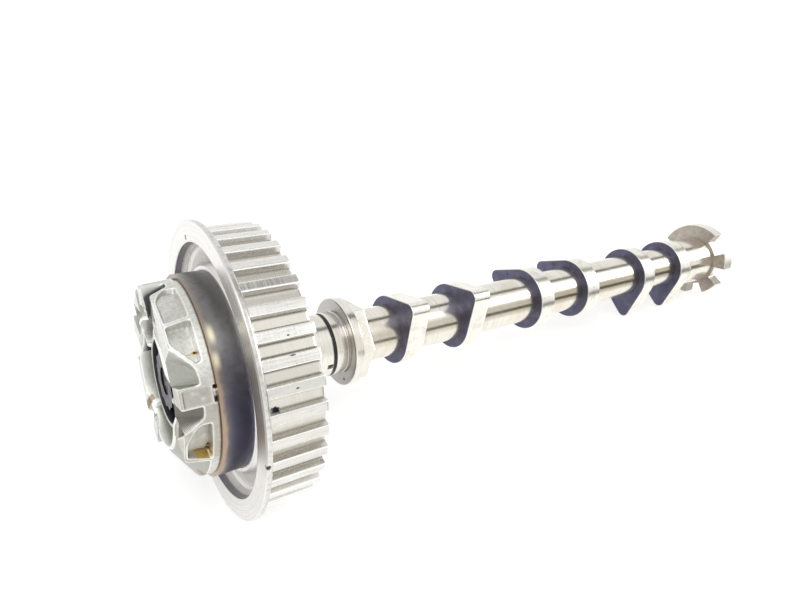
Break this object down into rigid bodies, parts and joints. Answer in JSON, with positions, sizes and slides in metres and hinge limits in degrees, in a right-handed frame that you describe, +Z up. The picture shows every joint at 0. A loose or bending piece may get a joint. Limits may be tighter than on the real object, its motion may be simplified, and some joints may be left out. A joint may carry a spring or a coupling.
{
  "type": "camshaft",
  "caption": "Assembled overhead camshaft with paired cams, a belt-driven hydraulic phaser at the front, a thrust collar with spanner hexagon and a toothed position wheel at the rear.",
  "frame": {"origin": "on the shaft axis, at the middle of the drive journal's bearing length between its two seal grooves", "axes": "+X along the shaft from the phaser to the trigger wheel, +Z up as the shaft lies in the picture, -Y towards the viewer"},
  "size_m": [0.3518, 0.12, 0.12],
  "materials": {
    "sintered_steel": "machined and washed, light grey",
    "steam_oxide_steel": "steam-treated sintered steel, blue-black with straw tint",
    "cast_aluminium": "die-cast, matt, oil stained",
    "ground_steel": "ground and polished",
    "black_oxide_cam": "blue-black hardened sides, ground running face",
    "plain_steel": "plain",
    "spring_steel": "plain",
    "seal_plastic": "black filled plastic",
    "trigger_steel": "satin, brown-grey"
  },
  "bodies": {
    "camshaft": {"lock_spring_seat": "plain_steel", "valve_bolt": "plain_steel", "retaining_ring": "plain_steel", "dowel_pin": "plain_steel", "end_plug": "plain_steel", "trigger_wheel": "trigger_steel", "rotor": "steam_oxide_steel", "lock_spring": "spring_steel", "spool_spring": "spring_steel", "vane_seal_springs": "spring_steel", "vane_seals": "seal_plastic", "seal_ring_front": "seal_plastic", "seal_ring_rear": "seal_plastic", "drive_journal": "ground_steel", "cam_tube": "ground_steel", "rear_journal": "ground_steel", "cam_lobe_1": "black_oxide_cam", "cam_lobe_2": "black_oxide_cam", "cam_lobe_3": "black_oxide_cam", "cam_lobe_4": "black_oxide_cam", "cam_lobe_5": "black_oxide_cam", "cam_lobe_6": "black_oxide_cam"},
    "phaser_housing": {"belt_wheel": "sintered_steel", "stator": "steam_oxide_steel", "front_cover": "cast_aluminium", "rear_plate": "plain_steel", "cover_screws": "plain_steel", "lock_bush": "plain_steel", "land_seals": "seal_plastic", "land_seal_springs": "spring_steel"},
    "lock_pin": {"lock_pin": "plain_steel"},
    "valve_spool": {"valve_spool": "plain_steel"}
  },
  "joints": [
    {"name": "phaser_turn", "type": "hinge", "parent": "camshaft", "child": "phaser_housing", "pos_m": [0, 0, 0], "axis": [1, 0, 0], "range_deg": [-12.5, 12.5]},
    {"name": "lock_pin_slide", "type": "slide", "parent": "camshaft", "child": "lock_pin", "axis": [1, 0, 0], "range_m": [0, 0.003], "stiffness_N_per_m": 400, "springref_m": -0.004, "deforming": ["lock_spring"]},
    {"name": "spool_slide", "type": "slide", "parent": "camshaft", "child": "valve_spool", "axis": [1, 0, 0], "range_m": [0, 0.003], "stiffness_N_per_m": 1000, "springref_m": -0.004, "deforming": ["spool_spring"]}
  ]
}
